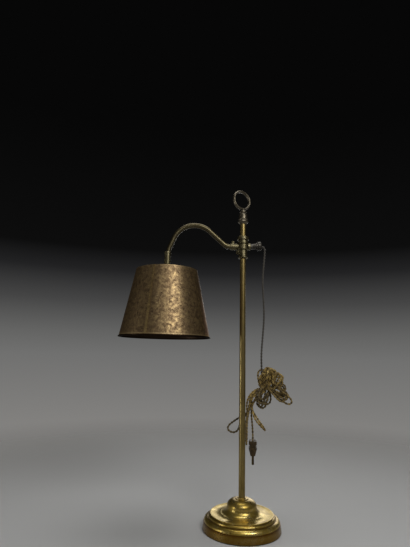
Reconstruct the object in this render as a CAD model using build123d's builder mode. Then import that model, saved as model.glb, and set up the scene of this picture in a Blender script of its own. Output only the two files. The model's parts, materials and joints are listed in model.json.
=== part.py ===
"""Brass rise-and-fall desk lamp.

A weighted, stepped base carries a stem with a carrying ring on top. A lock collar slides on the stem, and
the arm boss that rests on it turns round the stem. The boss holds a swan-neck arm with a sheet-metal shade,
and on its other side the outlet of a twisted cloth flex, which hangs in a hank and ends in a two-pin plug.

Millimetres, +Z up. The origin is on the stem's axis, on the table under the base. The arm points along -X,
and the flex leaves the boss along +X.
"""

import os
from math import cos, pi, radians, sin, tan

from build123d import *

# Fits and edges
running_play = 0.05  # radial play of a sliding or turning fit
body_gap = 0.3  # room between pieces that move past each other
cut_overrun = 2.0  # how far a cut reaches past the piece
soft_edge = 0.4  # rounding of a turned edge

# Base: spun brass sheet, from the table upwards and inwards
base_radius = 77.0
base_sheet = 1.2
base_wall_height = 15.0
base_wall_lean = 1.5
base_shoulder = 0.7
ovolo_radius = 7.8
ovolo_foot = 0.6
bead_step = 0.6
bead_rise = 1.0
bead_radius = 3.9
lip_step = 0.5
lip_rise = 2.2
lip_width = 1.6
plate_dip = 1.1
plate_rise = 0.5
dome_radius = 29.5
dome_flare = 12.0
dome_crown_radius = 14.0
dome_rise = 25.0

# Base: felt, iron weight and fixing
felt_thickness = 1.5
felt_inset = 1.0
weight_height = 12.0
weight_play = 0.8
weight_hub_radius = 13.0
fixing_recess_radius = 16.0
washer_radius = 13.5
washer_thickness = 1.5
nut_across_corners = 25.0
nut_height = 5.0
nut_cover = 1.0

# Stem and its foot collar
stem_radius = 6.5
stem_wall = 1.5
rise_room = 29.6  # free stem between the boss and the finial
foot_flange_radius = 13.2
foot_flange_height = 1.6
foot_ring_radius = 8.6
foot_ring_height = 1.4

# Finial and carrying ring
finial_radius = 11.5
finial_height = 31.0
finial_grip = 20.5
finial_round = 1.4
ring_outer_radius = 23.5
ring_band_radius = 2.6  # half the band's thickness
ring_band_half_width = 3.9
ring_post_radius = 3.0
ring_post_height = 1.9
ring_turn = 26.0
ring_lean = 8.0

# Lock collar and its thumbscrew
collar_height = 18.0
collar_radius = 9.6
collar_flange_radius = 11.2
collar_flange_height = 3.8
collar_lug_radius = 4.2
collar_lug_reach = 13.0
thumbscrew_turn = 222.0
thumbscrew_shank_radius = 2.0
thumbscrew_head_radius = 5.3
thumbscrew_head_height = 5.0
thumbscrew_knob_radius = 3.2
thumbscrew_knob_height = 2.2
knurl_radius = 0.55
knurl_count = 18

# Arm boss
arm_axis_height = 570.5
boss_radius = 12.4
boss_waist_radius = 10.4
boss_wall = 1.3
boss_crossing_height = 14.4
boss_ring_height = 6.0
boss_neck_height = 2.2
boss_flange_height = 8.0
boss_flange_radius = 13.3
boss_round_share = 0.6
chamber_height = 9.0
socket_radius = 7.2
socket_reach = 28.0
socket_depth = 15.0
outlet_hub_radius = 7.6
outlet_hub_reach = 16.0
outlet_hub_depth = 4.0

# Small screw that holds the arm in its socket
arm_screw_place = 22.7
arm_screw_lug_radius = 4.8
arm_screw_lug_top = 7.4
arm_screw_shank_radius = 1.5
arm_screw_head_radius = 3.4
arm_screw_head_height = 4.8
arm_screw_flute_radius = 0.35
arm_screw_flute_count = 12

# Swan-neck arm
arm_radius = 5.5
arm_wall = 1.1
arm_reach = 165.5
arm_straight = 36.7
arm_crown_out_share = 0.764
arm_crown_rise = 79.3
arm_drop_dip = 16.2
arm_bend_radius = 22.0
arm_crown_radius_share = 0.302
arm_drop_radius = 60.0
arm_to_shade = 59.0
arm_thread = 14.0

# Ferrule and clamp nut on the arm's lower end
ferrule_radius = 7.8
ferrule_waist_radius = 7.2
ferrule_height = 36.0
ferrule_bead_height = 3.4
ferrule_mouth_radius = 6.7
ferrule_mouth_depth = 13.0
clamp_nut_across_corners = 23.0
clamp_nut_height = 5.5

# Shade: conical brass sheet, wired edge, lapped seam, let-in top
shade_top_radius = 65.6
shade_bottom_radius = 96.6
shade_height = 143.7
shade_sheet = 0.6
rim_wire_radius = 1.5
rim_wire_bite = 0.4
seam_turn = 245.7
seam_width_turn = 3.4
seam_sheet = 0.5
seam_bed = 0.02
top_flange_height = 6.0
top_play = 0.04

# Lampholder
holder_radius = 20.0
holder_wall = 0.8
holder_neck_radius = 10.5
holder_cap_height = 26.0
holder_skirt_height = 8.0
holder_shell_height = 40.0
holder_lap = 6.0
holder_round = 6.0
insert_play = 0.2
insert_body_height = 15.0
insert_lip = 3.0
screw_shell_radius = 14.2
screw_shell_wall = 0.5
screw_shell_height = 23.0
contact_radius = 4.5
contact_height = 2.5
terminal_radius = 2.2
terminal_height = 2.6
terminal_place = 10.0
terminal_slot = 0.6

# Turn switch of the lampholder
key_drop = 8.0
key_shank_radius = 2.0
key_depth = 12.0
key_reach = 7.0
key_width = 13.0
key_height = 8.0
key_thickness = 2.4

# Bulb
bulb_cap_radius = 13.3
bulb_cap_height = 24.0
bulb_cap_wall = 0.5
bulb_collar = 1.0
bulb_radius = 27.0
bulb_height = 62.0
bulb_glass = 0.8

# Flex outlet on the boss, tipped up a little
outlet_tilt = 6.5
outlet_radius = 6.2
outlet_wall = 1.6
outlet_reach = 34.0
nozzle_radius = 10.0
nozzle_sleeve_radius = 7.8
nozzle_sleeve = 5.0
nozzle_face = 41.5
nozzle_bore_radius = 3.2
nozzle_mouth_radius = 5.6
nozzle_round_share = 0.65

# Flex: two twisted cores, outer diameter of the pair
cord_radius = 2.2
inner_flex_radius = 2.0
fold_share = 0.45

# Plug: two-pin, hanging with its pins down
plug_depth = 31.0
plug_thickness = 17.0
plug_turn = -11.1
plug_top_inset = 0.6
plug_top_height = 7.0
plug_waist_inset = 2.0
plug_waist_height = 6.0
plug_rim_height = 2.9
plug_body_height = 12.8
plug_nose_thickness = 9.8
plug_nose_inset = 2.4
plug_corner_share = 0.46
plug_edge = 0.9
plug_entry_depth = 6.0
pin_radius = 2.4
pin_root_radius = 1.8
pin_length = 17.0
pin_seat = 9.0
pin_spacing = 19.0
plug_screw_radius = 2.3
plug_screw_length = 8.0
plug_screw_slot = 0.7

# Routes of the flex where it isn't hanked, from point to point
drop_route = [
    (32.8, 0.0, 574.24),
    (48.6, 0.0, 576.04),
    (48.8, 0.0, 555.0),
    (46.2, 0.0, 531.0),
    (43.5, 0.0, 489.0),
    (46.0, 0.0, 450.0),
    (46.9, 0.0, 415.0),
    (43.8, 0.5, 377.0),
    (40.4, 1.5, 338.0),
    (42.0, 4.0, 302.0),
]
left_loop_route = [
    (24.0, 23.0, 220.0),
    (11.0, 23.5, 212.5),
    (-2.4, 23.0, 206.5),
    (-15.0, 22.0, 199.0),
    (-25.5, 21.5, 191.0),
    (-27.2, 21.5, 183.0),
    (-20.0, 22.0, 177.5),
    (-10.5, 23.0, 176.8),
    (-3.5, 25.0, 182.5),
    (0.0, 28.0, 192.5),
    (7.0, 29.4, 204.3),
    (15.5, 27.6, 214.0),
]
bight_route = [
    (16.5, 18.5, 222.0),
    (12.6, 17.0, 204.0),
    (11.8, 17.0, 184.0),
    (12.3, 17.3, 168.0),
    (12.7, 17.2, 157.5),
    (13.1, 22.4, 154.5),
    (13.5, 27.6, 157.5),
    (13.6, 27.7, 168.0),
    (13.2, 27.2, 184.0),
    (14.4, 25.8, 204.0),
    (18.5, 23.5, 219.0),
]
fold_route = [
    (24.5, 18.5, 222.0),
    (29.5, 17.8, 207.0),
    (40.5, 18.2, 192.5),
    (49.7, 18.4, 183.8),
    (52.1, 24.0, 181.6),
    (49.7, 29.6, 183.8),
    (41.0, 29.8, 192.8),
    (31.0, 28.4, 207.0),
    (26.0, 25.5, 220.0),
]
tail_route = [
    (23.0, 22.0, 222.0),
    (23.8, 23.5, 206.0),
    (26.2, 25.3, 190.0),
    (27.2, 26.0, 172.0),
    (27.2, 26.0, 154.5),
]

# Hank: its middle, its size, and each lobe's place, direction, half length and radius as shares of the size
hank_middle = (50.0, 8.0, 272.0)
hank_size = 50.0
hank_lobe_shares = [
    ((0.00, 0.00, 0.34), (0.0, 0.0, 1.0), 0.50, 0.29),
    ((0.42, 0.00, 0.26), (0.64, 0.0, 0.77), 0.54, 0.36),
    ((0.58, -0.04, -0.28), (0.82, 0.0, -0.57), 0.60, 0.30),
    ((-0.14, 0.00, -0.44), (-0.17, 0.0, -0.98), 0.50, 0.26),
    ((-0.24, 0.12, -0.20), (-0.86, 0.40, -0.32), 0.44, 0.22),
    ((-0.52, 0.28, -0.68), (-0.12, 0.09, -0.99), 0.60, 0.23),
]

# Levels and places that follow from the sizes above
wall_top_radius = base_radius - base_wall_lean
ovolo_middle = wall_top_radius - base_shoulder - ovolo_radius
ovolo_level = base_wall_height + ovolo_foot
bead_middle = ovolo_middle - bead_step - bead_radius
bead_level = ovolo_level + ovolo_radius + bead_rise
lip_radius = bead_middle - lip_step
lip_level = bead_level + bead_radius + lip_rise
plate_level = lip_level + plate_rise
dome_top = plate_level + dome_rise

weight_top = felt_thickness + weight_height
stem_bottom = felt_thickness + nut_cover
nut_top = stem_bottom + nut_height
washer_top = nut_top + washer_thickness
stem_bore = stem_radius + running_play

boss_bottom = arm_axis_height - boss_crossing_height / 2
ring_bottom = boss_bottom + boss_crossing_height
neck_bottom = ring_bottom + boss_ring_height
flange_bottom = neck_bottom + boss_neck_height
boss_top = flange_bottom + boss_flange_height
chamber_radius = boss_radius - boss_wall
collar_top = boss_bottom - body_gap
collar_bottom = collar_top - collar_height
collar_screw_level = collar_bottom + (collar_height + collar_flange_height) / 2

finial_foot = boss_top + rise_room
finial_top = finial_foot + finial_height
stem_top = finial_foot + finial_grip
ring_foot = finial_top + ring_post_height
ring_middle = (
    -ring_outer_radius * sin(radians(ring_lean)), 0, ring_foot + ring_outer_radius * cos(radians(ring_lean))
)

shade_top = arm_axis_height - arm_to_shade
shade_bottom = shade_top - shade_height
arm_end = shade_top - arm_thread
clamp_nut_top = shade_top + clamp_nut_height
ferrule_top = clamp_nut_top + ferrule_height

holder_top = shade_top - shade_sheet
holder_cap_bottom = holder_top - holder_cap_height
shell_top = holder_cap_bottom + holder_lap
shell_bottom = shell_top - holder_shell_height
shell_radius = holder_radius - holder_wall - running_play
insert_radius = shell_radius - holder_wall - insert_play
insert_top = shell_top - insert_lip
insert_seat = insert_top - insert_body_height
screw_shell_bottom = insert_seat - screw_shell_height
insert_bottom = screw_shell_bottom + insert_lip
key_level = insert_top - key_drop
bulb_cap_top = insert_seat - contact_height - running_play
bulb_neck = bulb_cap_top - bulb_cap_height

arm_axis = Axis((-arm_reach, 0, 0), (0, 0, 1))
outlet_way = (cos(radians(outlet_tilt)), 0, sin(radians(outlet_tilt)))
outlet_axis = Axis((0, 0, arm_axis_height), outlet_way)
chamber_middle = (stem_bore + chamber_radius) / 2
plug_place = (tail_route[-1][0], tail_route[-1][1])
plug_way = (cos(radians(plug_turn)), sin(radians(plug_turn)), 0)
plug_top = tail_route[-1][2] + plug_entry_depth
plug_rim_top = plug_top - plug_top_height - plug_waist_height
plug_rim_bottom = plug_rim_top - plug_rim_height
plug_nose = plug_rim_bottom - plug_body_height

made = {}


def keep(builder, name):
    """Label a finished piece and keep it under its name."""
    builder.part.label = name
    made[name] = builder.part


def lathe_plane(axis):
    """Plane through an axis: its local x is the radius, its local y runs along the axis."""
    along = axis.direction
    across = Vector(0, 1, 0).cross(along)
    if across.length == 0:
        across = Vector(1, 0, 0)
    return Plane(origin=axis.position, x_dir=across, z_dir=across.cross(along))


def turn(points, rounding, axis=Axis.Z, mode=Mode.ADD):
    """Turn an outline of (radius, distance along the axis) points, each inner corner rounded."""
    with BuildSketch(lathe_plane(axis)) as section:
        with BuildLine():
            outline = FilletPolyline(*points, radius=rounding)
            Line(outline @ 1, outline @ 0)
        make_face()
    revolve(section.sketch, axis=axis, mode=mode)


def rod(radius, start, end, axis=Axis.Z, mode=Mode.ADD):
    """A plain cylinder on an axis, from start to end along it."""
    turn([(0, start), (radius, start), (radius, end), (0, end)], 0, axis, mode)


def hoop(radius, wire_radius, axis, level=0):
    """A ring of round wire about an axis, its middle line at a radius and a level along the axis."""
    with BuildSketch(lathe_plane(axis)) as section:
        with Locations((radius, level)):
            Circle(wire_radius)
    revolve(section.sketch, axis=axis)


def upright(x, y):
    """Upright axis through a place on the table."""
    return Axis((x, y, 0), (0, 0, 1))


def base_section(inset, foot):
    """Half section of the base's mouldings, all faces moved inwards by inset."""
    plate_middle = (lip_radius - lip_width + dome_radius + dome_flare) / 2
    with BuildSketch(Plane.XZ) as section:
        with BuildLine():
            Polyline(
                (0, foot),
                (base_radius - inset, foot),
                (wall_top_radius - inset, base_wall_height - inset),
                (ovolo_middle + ovolo_radius - inset, base_wall_height - inset),
                (ovolo_middle + ovolo_radius - inset, ovolo_level),
            )
            CenterArc((ovolo_middle, ovolo_level), ovolo_radius - inset, 0, 90)
            Polyline(
                (ovolo_middle, ovolo_level + ovolo_radius - inset),
                (bead_middle + bead_radius - inset, ovolo_level + ovolo_radius - inset),
                (bead_middle + bead_radius - inset, bead_level),
            )
            CenterArc((bead_middle, bead_level), bead_radius - inset, 0, 90)
            Polyline(
                (bead_middle, bead_level + bead_radius - inset),
                (lip_radius - inset, bead_level + bead_radius - inset),
                (lip_radius - inset, lip_level - inset),
                (lip_radius - lip_width, lip_level - inset),
            )
            ThreePointArc(
                (lip_radius - lip_width, lip_level - inset),
                (plate_middle, lip_level - plate_dip - inset),
                (dome_radius + dome_flare, plate_level - inset),
            )
            CenterArc((dome_radius + dome_flare, plate_level + dome_flare), dome_flare + inset, 270, -90)
            EllipticalCenterArc(
                (dome_crown_radius, plate_level + dome_flare),
                dome_radius - dome_crown_radius - inset,
                dome_rise - dome_flare - inset,
                start_angle=0,
                arc_size=90,
            )
            Polyline((dome_crown_radius, dome_top - inset), (0, dome_top - inset), (0, foot))
        make_face()
    return section.sketch


def shade_radius(level):
    """Outer radius of the shade's cone at a level."""
    share = (shade_top - level) / shade_height
    return shade_top_radius + (shade_bottom_radius - rim_wire_radius - shade_top_radius) * share


def cone_wall(low, high, inset, sheet):
    """Outline of a strip of the shade's cone between two levels, inset from its outer face."""
    return [
        (shade_radius(low) - inset - sheet, low),
        (shade_radius(low) - inset, low),
        (shade_radius(high) - inset, high),
        (shade_radius(high) - inset - sheet, high),
    ]


def route_radii(points):
    """Radius of each corner of a route, as large as its two runs allow."""
    found = []
    for before, here, after in zip(points, points[1:], points[2:]):
        back = Vector(*here) - Vector(*before)
        ahead = Vector(*after) - Vector(*here)
        half_turn = radians(back.get_angle(ahead)) / 2
        found.append(fold_share * min(back.length, ahead.length) / tan(half_turn))
    return found


def tube(points, radii, radius, bore=0):
    """A round tube, or a rod with no bore, along straight runs joined by tangent arcs."""
    with BuildLine() as route:
        FilletPolyline(*points, radius=radii)
    path = route.wire()
    with BuildSketch(Plane(origin=path @ 0, z_dir=path % 0)) as section:
        Circle(radius)
        if bore:
            Circle(bore, mode=Mode.SUBTRACT)
    sweep(section.sketch, path=path)
    return path.length


def plug_plane(level):
    """Flat plane on the plug's middle at a level: its local x is the plug's thickness, its local y the depth."""
    return Plane((*plug_place, level), x_dir=plug_way, z_dir=(0, 0, 1))


def pin_axes():
    """Upright axes of the two pins, side by side along the plug's depth."""
    half = pin_spacing / 2
    return [
        upright(plug_place[0] - side * half * plug_way[1], plug_place[1] + side * half * plug_way[0])
        for side in (-1, 1)
    ]


def plug_outline(thickness, depth):
    """The plug's level outline, nearly round at its two ends."""
    RectangleRounded(thickness, depth, plug_corner_share * thickness)


def rounded_slab(thickness, depth, level, height):
    """An upright slab on the plug's middle, with rounded ends, from a level upwards."""
    with BuildSketch(plug_plane(level)) as section:
        plug_outline(thickness, depth)
    extrude(section.sketch, amount=height)


# Base shell: spun sheet, open underneath, with a hole for the stem
with BuildPart() as base_shell:
    revolve(base_section(0, felt_thickness), axis=Axis.Z)
    revolve(base_section(base_sheet, felt_thickness - cut_overrun), axis=Axis.Z, mode=Mode.SUBTRACT)
    rod(stem_bore, felt_thickness, dome_top + cut_overrun, mode=Mode.SUBTRACT)
keep(base_shell, "base_shell")

# Felt under the base
with BuildPart() as base_felt:
    rod(base_radius - felt_inset, 0, felt_thickness)
keep(base_felt, "base_felt")

# Iron weight with a hub that bears against the dome, and a recess for the fixing
with BuildPart() as base_weight:
    rod(wall_top_radius - base_sheet - weight_play, felt_thickness, weight_top)
    rod(weight_hub_radius, felt_thickness, dome_top - base_sheet)
    rod(fixing_recess_radius, felt_thickness - cut_overrun, washer_top, mode=Mode.SUBTRACT)
    rod(stem_bore, felt_thickness, dome_top + cut_overrun, mode=Mode.SUBTRACT)
keep(base_weight, "base_weight")

# Washer and nut that draw the stem down
with BuildPart() as stem_washer:
    rod(washer_radius, nut_top, washer_top)
    rod(stem_bore, nut_top - cut_overrun, washer_top + cut_overrun, mode=Mode.SUBTRACT)
keep(stem_washer, "stem_washer")

with BuildPart() as stem_nut:
    with BuildSketch(Plane.XY.offset(stem_bottom)):
        RegularPolygon(nut_across_corners / 2, 6)
        Circle(stem_bore, mode=Mode.SUBTRACT)
    extrude(amount=nut_height)
keep(stem_nut, "stem_nut")

# Stem tube
with BuildPart() as stem:
    rod(stem_radius, stem_bottom, stem_top)
    rod(stem_radius - stem_wall, stem_bottom - cut_overrun, stem_top + cut_overrun, mode=Mode.SUBTRACT)
keep(stem, "stem")

# Collar that seats the stem on the dome
with BuildPart() as foot_collar:
    foot_step = dome_top + foot_flange_height
    turn(
        [
            (stem_bore, dome_top),
            (foot_flange_radius, dome_top),
            (foot_flange_radius, foot_step),
            (foot_ring_radius, foot_step),
            (foot_ring_radius, foot_step + foot_ring_height),
            (stem_bore, foot_step + foot_ring_height),
        ],
        [soft_edge, foot_flange_height / 2, soft_edge, foot_ring_height / 2],
    )
keep(foot_collar, "foot_collar")

# Turned finial, bored for the stem
finial_outline_shares = [
    (0.00, 0.00),
    (0.64, 0.00),
    (0.82, 0.10),
    (1.00, 0.12),
    (1.00, 0.25),
    (0.76, 0.29),
    (0.86, 0.36),
    (0.82, 0.70),
    (0.56, 0.82),
    (0.50, 0.86),
    (0.68, 0.88),
    (0.66, 0.97),
    (0.34, 1.00),
    (0.00, 1.00),
]
finial_round_shares = [0.3, 0.5, 0.8, 0.8, 0.4, 0.8, 2.6, 1.0, 0.5, 0.8, 0.8, 0.5]
with BuildPart() as finial:
    turn(
        [(finial_radius * r, finial_foot + finial_height * h) for r, h in finial_outline_shares],
        [finial_round * share for share in finial_round_shares],
    )
    rod(stem_bore, finial_foot - cut_overrun, stem_top + running_play, mode=Mode.SUBTRACT)
keep(finial, "finial")

# Carrying ring on a short post
ring_way = (
    -sin(radians(ring_turn)) * cos(radians(ring_lean)),
    cos(radians(ring_turn)),
    -sin(radians(ring_turn)) * sin(radians(ring_lean)),
)
ring_axis = Axis(ring_middle, ring_way)
with BuildPart() as carrying_ring:
    with BuildSketch(lathe_plane(ring_axis)) as band:
        with Locations((ring_outer_radius - ring_band_radius, 0)):
            Ellipse(ring_band_radius, ring_band_half_width)
    revolve(band.sketch, axis=ring_axis)
    rod(ring_post_radius, finial_top, ring_foot + ring_band_radius)
keep(carrying_ring, "carrying_ring")

# Lock collar: a flanged sleeve with a lug for its thumbscrew
thumbscrew_way = (cos(radians(thumbscrew_turn)), sin(radians(thumbscrew_turn)), 0)
thumbscrew_axis = Axis((0, 0, collar_screw_level), thumbscrew_way)
with BuildPart() as lock_collar:
    turn(
        [
            (0, collar_bottom),
            (collar_flange_radius, collar_bottom),
            (collar_flange_radius, collar_bottom + collar_flange_height),
            (collar_radius, collar_bottom + collar_flange_height),
            (collar_radius, collar_top),
            (0, collar_top),
        ],
        [collar_flange_height / 3, collar_flange_height / 3, soft_edge, soft_edge],
    )
    rod(collar_lug_radius, stem_radius, collar_lug_reach, thumbscrew_axis)
    rod(stem_bore, collar_bottom - cut_overrun, collar_top + cut_overrun, mode=Mode.SUBTRACT)
    rod(thumbscrew_shank_radius + running_play, 0, collar_lug_reach + cut_overrun, thumbscrew_axis,
        Mode.SUBTRACT)
keep(lock_collar, "lock_collar")

# Thumbscrew with a knurled head and a small end knob
head_start = collar_lug_reach + body_gap
head_end = head_start + thumbscrew_head_height
with BuildPart() as thumbscrew:
    turn(
        [
            (0, stem_radius + body_gap),
            (thumbscrew_shank_radius, stem_radius + body_gap),
            (thumbscrew_shank_radius, head_start),
            (thumbscrew_head_radius, head_start),
            (thumbscrew_head_radius, head_end),
            (thumbscrew_knob_radius, head_end),
            (thumbscrew_knob_radius, head_end + thumbscrew_knob_height),
            (0, head_end + thumbscrew_knob_height),
        ],
        [soft_edge, soft_edge, soft_edge, soft_edge, soft_edge, soft_edge],
        thumbscrew_axis,
    )
    with BuildSketch(Plane(thumbscrew_axis.position, z_dir=thumbscrew_axis.direction)) as knurls:
        with PolarLocations(thumbscrew_head_radius, knurl_count):
            Circle(knurl_radius)
    extrude(knurls.sketch, amount=head_end + cut_overrun, mode=Mode.SUBTRACT)
keep(thumbscrew, "thumbscrew")

# Arm boss: a turned body round a wiring chamber, an arm socket and a hub for the flex outlet
socket_axis = Axis((0, 0, arm_axis_height), (-1, 0, 0))
arm_screw_axis = upright(-arm_screw_place, 0)
boss_step = boss_radius - boss_waist_radius
ring_round = boss_round_share * boss_step
flange_round = boss_round_share * (boss_flange_radius - boss_waist_radius)
with BuildPart() as arm_boss:
    turn(
        [
            (0, boss_bottom),
            (boss_waist_radius, boss_bottom),
            (boss_radius, boss_bottom + boss_step),
            (boss_radius, ring_bottom - boss_step),
            (boss_waist_radius, ring_bottom),
            (boss_radius, ring_bottom + soft_edge),
            (boss_radius, neck_bottom),
            (boss_waist_radius, neck_bottom),
            (boss_waist_radius, flange_bottom),
            (boss_flange_radius, flange_bottom),
            (boss_flange_radius, boss_top),
            (0, boss_top),
        ],
        [soft_edge, soft_edge, soft_edge, soft_edge, soft_edge, ring_round, soft_edge, soft_edge,
         flange_round, flange_round],
    )
    rod(socket_radius, chamber_radius, socket_reach, socket_axis)
    rod(outlet_hub_radius, chamber_radius, outlet_hub_reach, outlet_axis)
    rod(arm_screw_lug_radius, arm_axis_height, arm_axis_height + arm_screw_lug_top, arm_screw_axis)
    chamber_low = arm_axis_height - chamber_height / 2
    chamber_high = arm_axis_height + chamber_height / 2
    rod(stem_bore, boss_bottom - cut_overrun, boss_top + cut_overrun, mode=Mode.SUBTRACT)
    rod(chamber_radius, chamber_low, chamber_high, mode=Mode.SUBTRACT)
    rod(arm_radius - arm_wall, 0, socket_reach, socket_axis, Mode.SUBTRACT)
    rod(arm_radius + running_play, socket_reach - socket_depth, socket_reach + cut_overrun, socket_axis,
        Mode.SUBTRACT)
    rod(outlet_radius - outlet_wall, 0, outlet_hub_reach, outlet_axis, Mode.SUBTRACT)
    rod(outlet_radius + running_play, outlet_hub_reach - outlet_hub_depth, outlet_hub_reach + cut_overrun,
        outlet_axis, Mode.SUBTRACT)
    rod(arm_screw_shank_radius + running_play, arm_axis_height,
        arm_axis_height + arm_screw_lug_top + cut_overrun, arm_screw_axis, Mode.SUBTRACT)
keep(arm_boss, "arm_boss")

# Screw in the arm socket
arm_screw_seat = arm_axis_height + arm_screw_lug_top + body_gap
arm_screw_top = arm_screw_seat + arm_screw_head_height
with BuildPart() as arm_screw:
    turn(
        [
            (0, arm_axis_height + arm_radius + body_gap),
            (arm_screw_shank_radius, arm_axis_height + arm_radius + body_gap),
            (arm_screw_shank_radius, arm_screw_seat),
            (arm_screw_head_radius, arm_screw_seat),
            (arm_screw_head_radius, arm_screw_top),
            (0, arm_screw_top),
        ],
        [0, 0, soft_edge, 2 * soft_edge],
        arm_screw_axis,
    )
    with BuildSketch(Plane((-arm_screw_place, 0, arm_screw_seat))) as flutes:
        with PolarLocations(arm_screw_head_radius, arm_screw_flute_count):
            Circle(arm_screw_flute_radius)
    extrude(flutes.sketch, amount=arm_screw_head_height + cut_overrun, mode=Mode.SUBTRACT)
keep(arm_screw, "arm_screw")

# Swan-neck arm, a bent tube from the socket to the lampholder
arm_corners = [
    (-arm_straight, 0, arm_axis_height),
    (-arm_crown_out_share * arm_reach, 0, arm_axis_height + arm_crown_rise),
    (-arm_reach, 0, arm_axis_height - arm_drop_dip),
]
arm_radii = [arm_bend_radius, arm_crown_radius_share * arm_reach, arm_drop_radius]
arm_start = (-(socket_reach - socket_depth), 0, arm_axis_height)
with BuildPart() as swan_arm:
    tube([arm_start, *arm_corners, (-arm_reach, 0, arm_end)], arm_radii, arm_radius, arm_radius - arm_wall)
keep(swan_arm, "swan_arm")

# Outlet tube and flared nozzle for the flex
with BuildPart() as outlet_tube:
    rod(outlet_radius, outlet_hub_reach - outlet_hub_depth, outlet_reach, outlet_axis)
    rod(outlet_radius - outlet_wall, 0, outlet_reach + cut_overrun, outlet_axis, Mode.SUBTRACT)
keep(outlet_tube, "outlet_tube")

with BuildPart() as outlet_nozzle:
    nozzle_start = outlet_reach - nozzle_sleeve
    nozzle_shoulder = outlet_reach - nozzle_sleeve / 3
    back_round = nozzle_round_share * (nozzle_radius - nozzle_sleeve_radius)
    front_round = nozzle_round_share * (nozzle_radius - nozzle_mouth_radius)
    turn(
        [
            (0, nozzle_start),
            (nozzle_sleeve_radius, nozzle_start),
            (nozzle_sleeve_radius, nozzle_shoulder),
            (nozzle_radius, nozzle_shoulder),
            (nozzle_radius, nozzle_face),
            (nozzle_mouth_radius, nozzle_face),
            (nozzle_bore_radius, outlet_reach + nozzle_sleeve / 3),
            (0, outlet_reach + nozzle_sleeve / 3),
        ],
        [soft_edge, soft_edge, back_round, front_round, soft_edge, soft_edge],
        outlet_axis,
    )
    rod(outlet_radius + running_play, nozzle_start - cut_overrun, outlet_reach, outlet_axis, Mode.SUBTRACT)
    rod(nozzle_bore_radius, 0, nozzle_face, outlet_axis, Mode.SUBTRACT)
keep(outlet_nozzle, "outlet_nozzle")

# Flex inside the lamp: up the arm, round the stem in the boss chamber, out to the nozzle
flex_start = (-chamber_middle, 0, arm_axis_height)
with BuildPart() as inner_flex:
    tube([flex_start, *arm_corners, (-arm_reach, 0, insert_top)], arm_radii, inner_flex_radius)
    with BuildSketch(Plane.XZ) as core:
        with Locations((chamber_middle, arm_axis_height)):
            Circle(inner_flex_radius)
    revolve(core.sketch, axis=Axis.Z, revolution_arc=180)
    rod(inner_flex_radius, chamber_middle, drop_route[0][0] / outlet_way[0], outlet_axis)
keep(inner_flex, "inner_flex")

# Ferrule and hexagon nut on the arm's lower end
with BuildPart() as arm_ferrule:
    bead_low = clamp_nut_top + ferrule_bead_height
    bead_high = ferrule_top - ferrule_bead_height
    turn(
        [
            (0, clamp_nut_top),
            (ferrule_radius, clamp_nut_top),
            (ferrule_radius, bead_low),
            (ferrule_waist_radius, bead_low),
            (ferrule_waist_radius, bead_high),
            (ferrule_radius, bead_high),
            (ferrule_radius, ferrule_top),
            (0, ferrule_top),
        ],
        [soft_edge, soft_edge, 0, 0, soft_edge, soft_edge],
        arm_axis,
    )
    rod(arm_radius + running_play, clamp_nut_top - cut_overrun, ferrule_top, arm_axis, Mode.SUBTRACT)
    rod(ferrule_mouth_radius, ferrule_top - ferrule_mouth_depth, ferrule_top + cut_overrun, arm_axis,
        Mode.SUBTRACT)
keep(arm_ferrule, "arm_ferrule")

with BuildPart() as clamp_nut:
    with BuildSketch(Plane((-arm_reach, 0, shade_top))):
        RegularPolygon(clamp_nut_across_corners / 2, 6)
        Circle(arm_radius + running_play, mode=Mode.SUBTRACT)
    extrude(amount=clamp_nut_height)
keep(clamp_nut, "clamp_nut")

# Shade: cone, let-in top with a turned-down edge, wired rim, lapped seam strip
rim_level = shade_bottom + rim_wire_radius
cone_foot = shade_bottom + 2 * rim_wire_radius - rim_wire_bite
with BuildPart() as shade_cone:
    turn(cone_wall(cone_foot, shade_top, 0, shade_sheet), 0, arm_axis)
keep(shade_cone, "shade_cone")

with BuildPart() as shade_top_plate:
    inset = shade_sheet + top_play
    turn(cone_wall(shade_top - top_flange_height, shade_top, inset, shade_sheet), 0, arm_axis)
    rod(shade_radius(shade_top) - inset - shade_sheet / 2, holder_top, shade_top, arm_axis)
    rod(arm_radius + running_play, holder_top - cut_overrun, shade_top + cut_overrun, arm_axis,
        Mode.SUBTRACT)
keep(shade_top_plate, "shade_top_plate")

with BuildPart() as shade_rim_wire:
    hoop(shade_bottom_radius - rim_wire_radius, rim_wire_radius, arm_axis, rim_level)
keep(shade_rim_wire, "shade_rim_wire")

seam_low = rim_level + 2 * rim_wire_radius
seam_plane = Plane(
    (-arm_reach, 0, 0),
    x_dir=(cos(radians(seam_turn)), sin(radians(seam_turn)), 0),
    z_dir=(sin(radians(seam_turn)), -cos(radians(seam_turn)), 0),
)
with BuildPart() as shade_seam:
    with BuildSketch(seam_plane) as strip:
        with BuildLine():
            Polyline(*cone_wall(seam_low, shade_top, -seam_bed - seam_sheet, seam_sheet), close=True)
        make_face()
    revolve(strip.sketch, axis=arm_axis, revolution_arc=seam_width_turn)
keep(shade_seam, "shade_seam")

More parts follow.
